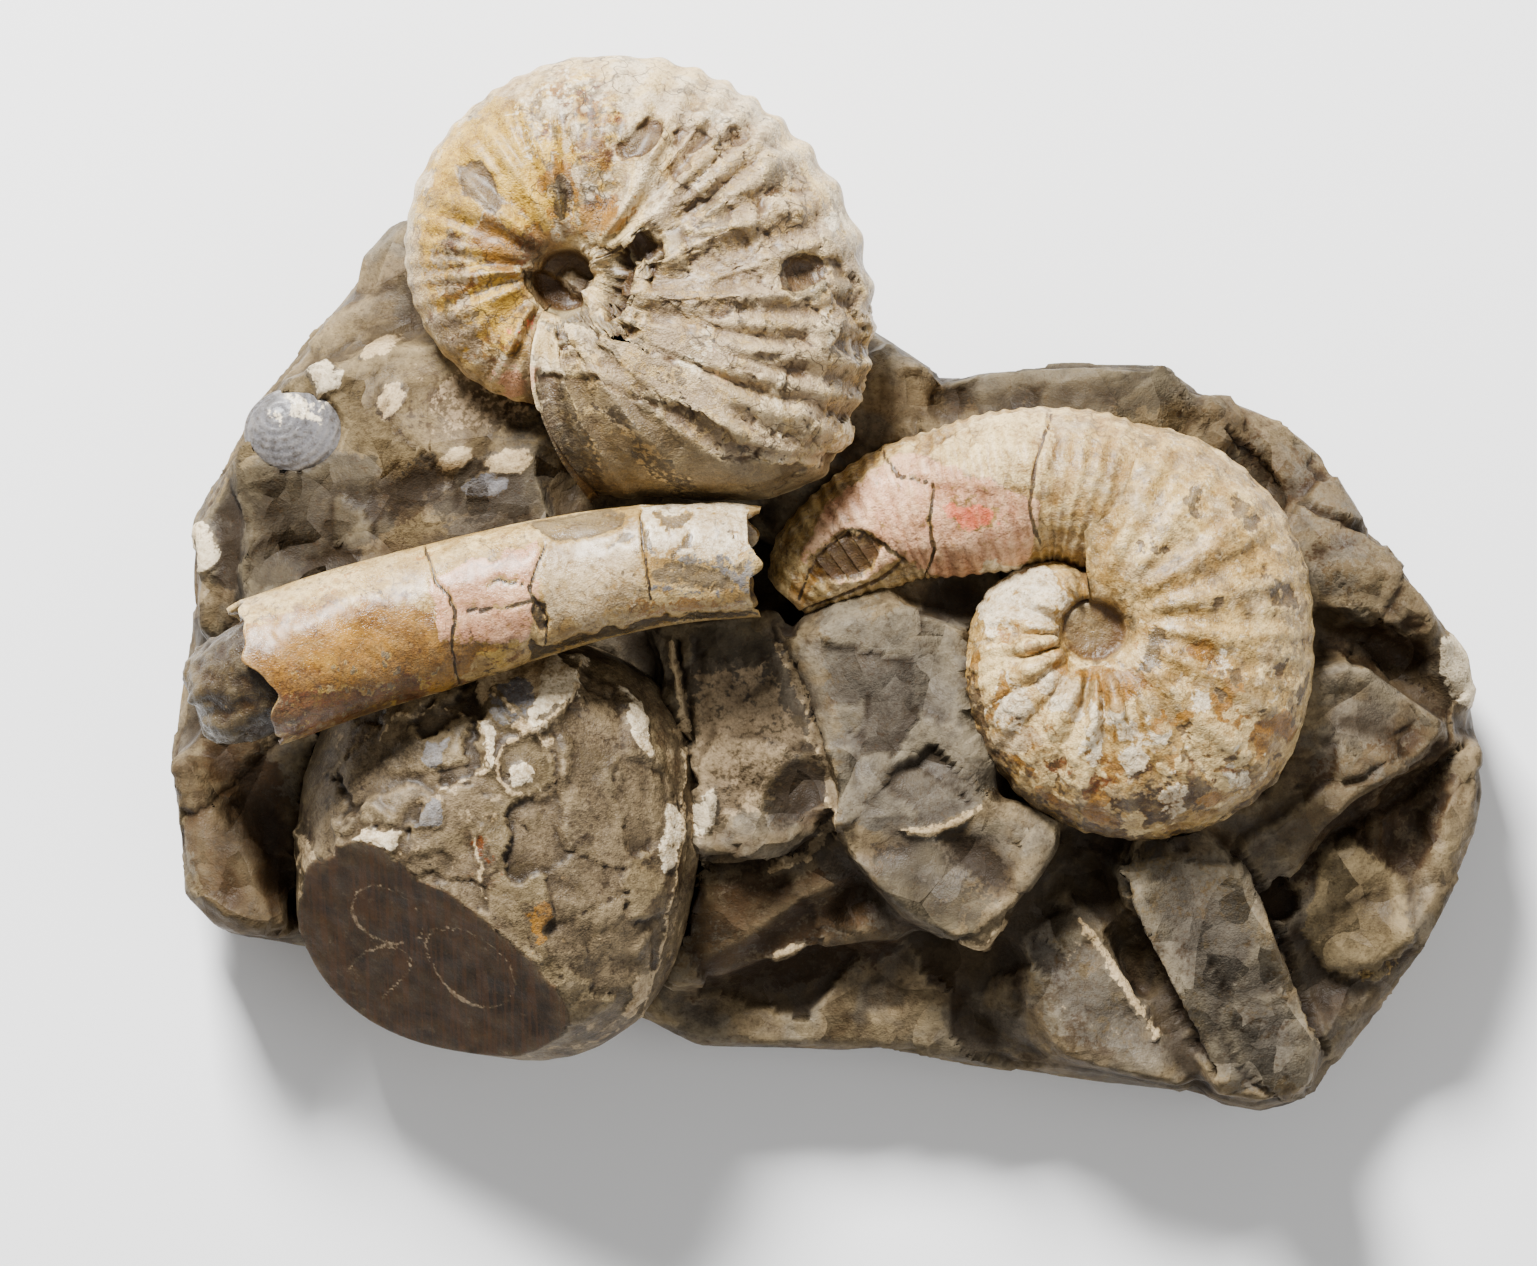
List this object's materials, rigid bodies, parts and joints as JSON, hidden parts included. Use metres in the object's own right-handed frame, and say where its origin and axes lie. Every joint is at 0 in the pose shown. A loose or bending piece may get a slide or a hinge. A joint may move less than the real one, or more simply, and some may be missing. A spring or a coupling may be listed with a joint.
{
  "type": "hoploscaphites ammonite fossil cluster",
  "caption": "Broken mudstone lump holding coiled ribbed ammonites, a straight baculite, a small clam and a rounded mud cast, laid flat on its back.",
  "frame": {"origin": "middle of the bounding box at the height of the resting face", "axes": "+Z out of the showing face, +X to its right, +Y to its upper edge"},
  "size_m": [0.1084, 0.0859, 0.0335],
  "materials": {
    "mudstone": "matte",
    "cast_mudstone": "matte",
    "cream_shell": "satin",
    "pearl_shell": "satin",
    "tan_shell": "satin",
    "clam_shell": "satin"
  },
  "bodies": {
    "root": {"matrix": "mudstone", "cast": "cast_mudstone", "ammonite_upper": "cream_shell", "ammonite_lower": "pearl_shell", "baculite": "tan_shell", "clam": "clam_shell"}
  },
  "joints": []
}
